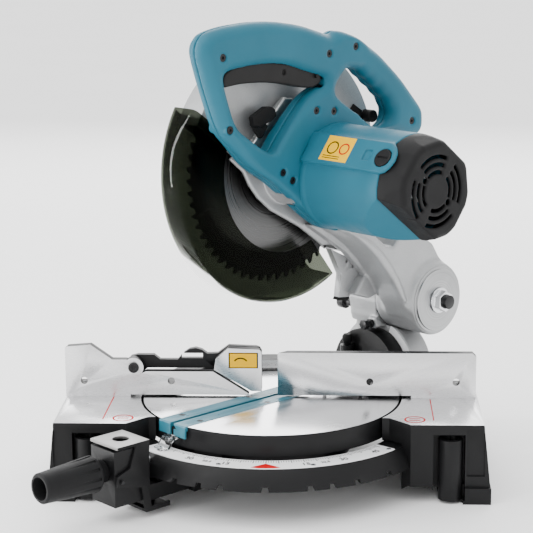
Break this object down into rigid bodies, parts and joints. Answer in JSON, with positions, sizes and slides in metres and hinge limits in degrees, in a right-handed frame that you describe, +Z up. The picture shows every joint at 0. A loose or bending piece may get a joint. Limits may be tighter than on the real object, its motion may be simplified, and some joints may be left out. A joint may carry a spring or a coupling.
{
  "type": "compound mitre saw",
  "caption": "Bench mitre saw: round blade under a see-through guard on a chopping, tilting head above a swivelling table with a two-part fence.",
  "frame": {"origin": "on the turntable's vertical axis at bench level, which is also the centre of the four bench bolt holes", "axes": "+Z up out of the bench, +X to the operator's right along the fence, +Y to the rear; the saw is stored at mitre 45 degrees left, bevel 0, head up"},
  "size_m": [0.476, 0.4239, 0.5105],
  "materials": {
    "black_casting": "satin black paint on cast aluminium, machined top faces",
    "machined_aluminium": "machined, brushed",
    "silver_casting": "silver painted casting",
    "steel": "bright",
    "black_steel": "blackened",
    "chrome": "polished",
    "teal_plastic": "fine texture",
    "black_plastic": "fine texture",
    "smoked_plastic": "clear smoked polycarbonate",
    "clear_plastic": "clear",
    "white_scale": "printed scale",
    "rubber": "matt",
    "copper": "enamelled windings"
  },
  "bodies": {
    "base": {"base": "black_casting", "fence": "machined_aluminium", "fence_bolts": "black_steel", "mitre_scale": "white_scale", "scale_screws": "steel", "sub_fence_screw": "black_steel"},
    "sub_fence": {"sub_fence": "black_casting"},
    "turntable": {"turntable": "black_casting", "kerf_board_left": "teal_plastic", "kerf_board_right": "teal_plastic", "kerf_screws": "black_steel", "pointer": "clear_plastic", "centre_bolt": "steel", "bevel_bolt": "steel", "lever_pin": "steel"},
    "lock_lever": {"lock_lever": "steel"},
    "grip": {"mitre_grip": "black_plastic", "grip_rod": "steel"},
    "pull_knob": {"pull_knob": "black_plastic"},
    "bevel_lever": {"bevel_lever": "black_plastic"},
    "arm": {"arm": "silver_casting", "bevel_scale": "white_scale", "stop_bolt": "black_steel", "pivot_bolt": "black_steel", "pivot_nut": "chrome"},
    "stopper_pin": {"stopper_pin": "steel"},
    "head": {"head_arm": "silver_casting", "pivot_cap": "silver_casting", "torsion_spring": "steel", "rear_skirt": "silver_casting", "blade_case": "silver_casting", "centre_cover": "silver_casting", "dust_nozzle": "black_plastic", "guard_bumper": "rubber", "lever_bracket": "steel", "handle_left": "teal_plastic", "handle_right": "teal_plastic", "handle_screws": "black_steel", "trigger_pin": "steel", "switch_body": "black_plastic", "motor_housing": "teal_plastic", "motor_cap": "black_plastic", "brush_caps": "black_plastic", "carbon_brushes": "rubber", "stator": "copper", "motor_bearings": "steel", "spindle_bearings": "steel", "cord_gland": "rubber"},
    "guard": {"lower_guard": "smoked_plastic"},
    "blade": {"spindle": "steel", "drive_gear": "steel", "blade_flanges": "steel", "blade": "steel", "blade_bolt": "black_steel"},
    "armature": {"armature": "steel", "cooling_fan": "black_plastic"},
    "trigger": {"trigger": "black_plastic"},
    "guard_lever": {"guard_lever": "black_plastic"},
    "shaft_lock": {"shaft_lock": "black_plastic"}
  },
  "joints": [
    {"name": "sub_fence_flip", "type": "hinge", "parent": "base", "child": "sub_fence", "pos_m": [-0.154, 0, 0.121], "axis": [0, -1, 0], "range_deg": [0, 150]},
    {"name": "mitre_swivel", "type": "hinge", "parent": "base", "child": "turntable", "pos_m": [0, 0, 0.087], "axis": [0, 0, 1], "range_deg": [0, 90]},
    {"name": "lock_lever_tip", "type": "hinge", "parent": "turntable", "child": "lock_lever", "pos_m": [-0.16405, -0.16405, 0.048], "axis": [0.7071, -0.7071, 0], "range_deg": [0, 4.5]},
    {"name": "grip_turn", "type": "hinge", "parent": "turntable", "child": "grip", "pos_m": [-0.21213, -0.21213, 0.056], "axis": [0.7071, 0.7071, 0], "range_deg": [0, 180]},
    {"name": "pull_knob_slide", "type": "slide", "parent": "turntable", "child": "pull_knob", "axis": [0, 0, 1], "range_m": [0, 0.006], "stiffness_N_per_m": 300, "springref_m": -0.003},
    {"name": "bevel_lever_turn", "type": "hinge", "parent": "turntable", "child": "bevel_lever", "pos_m": [0.14849, 0.14849, 0.087], "axis": [0.7071, 0.7071, 0], "range_deg": [0, 40]},
    {"name": "bevel_tilt", "type": "hinge", "parent": "turntable", "child": "arm", "pos_m": [0.12728, 0.12728, 0.087], "axis": [-0.7071, -0.7071, 0], "range_deg": [0, 45]},
    {"name": "stopper_pin_slide", "type": "slide", "parent": "arm", "child": "stopper_pin", "axis": [-0.7071, 0.7071, 0], "range_m": [0, 0.008]},
    {"name": "head_chop", "type": "hinge", "parent": "arm", "child": "head", "pos_m": [0.14637, 0.1294, 0.178], "axis": [0.7071, -0.7071, 0], "range_deg": [0, 38], "stiffness_Nm_per_rad": 12, "springref_deg": -91.67},
    {"name": "guard_retract", "type": "hinge", "parent": "head", "child": "guard", "pos_m": [0.00566, 0.00566, 0.347], "axis": [-0.7071, 0.7071, 0], "range_deg": [0, 125]},
    {"name": "blade_spin", "type": "hinge", "parent": "head", "child": "blade", "pos_m": [0.00566, 0.00566, 0.347], "axis": [0.7071, -0.7071, 0], "continuous": true},
    {"name": "armature_spin", "type": "hinge", "parent": "head", "child": "armature", "pos_m": [0.10041, -0.04101, 0.34], "axis": [0.7071, -0.7071, 0], "continuous": true},
    {"name": "trigger_pull", "type": "hinge", "parent": "head", "child": "trigger", "pos_m": [0.04419, -0.02157, 0.449], "axis": [-0.7071, 0.7071, 0], "range_deg": [0, 4], "stiffness_Nm_per_rad": 2, "springref_deg": -4.58},
    {"name": "guard_lever_push", "type": "hinge", "parent": "head", "child": "guard_lever", "pos_m": [-0.0053, -0.04561, 0.398], "axis": [0.7071, -0.7071, 0], "range_deg": [0, 12], "stiffness_Nm_per_rad": 0.3, "springref_deg": -11.46},
    {"name": "shaft_lock_push", "type": "slide", "parent": "head", "child": "shaft_lock", "axis": [-0.7071, -0.7071, 0], "range_m": [0, 0.003], "stiffness_N_per_m": 400, "springref_m": -0.003}
  ],
  "couplings": [
    {"joint": "guard_retract", "follows": "head_chop", "ratio": 3.28},
    {"joint": "armature_spin", "follows": "blade_spin", "ratio": -5.25}
  ]
}
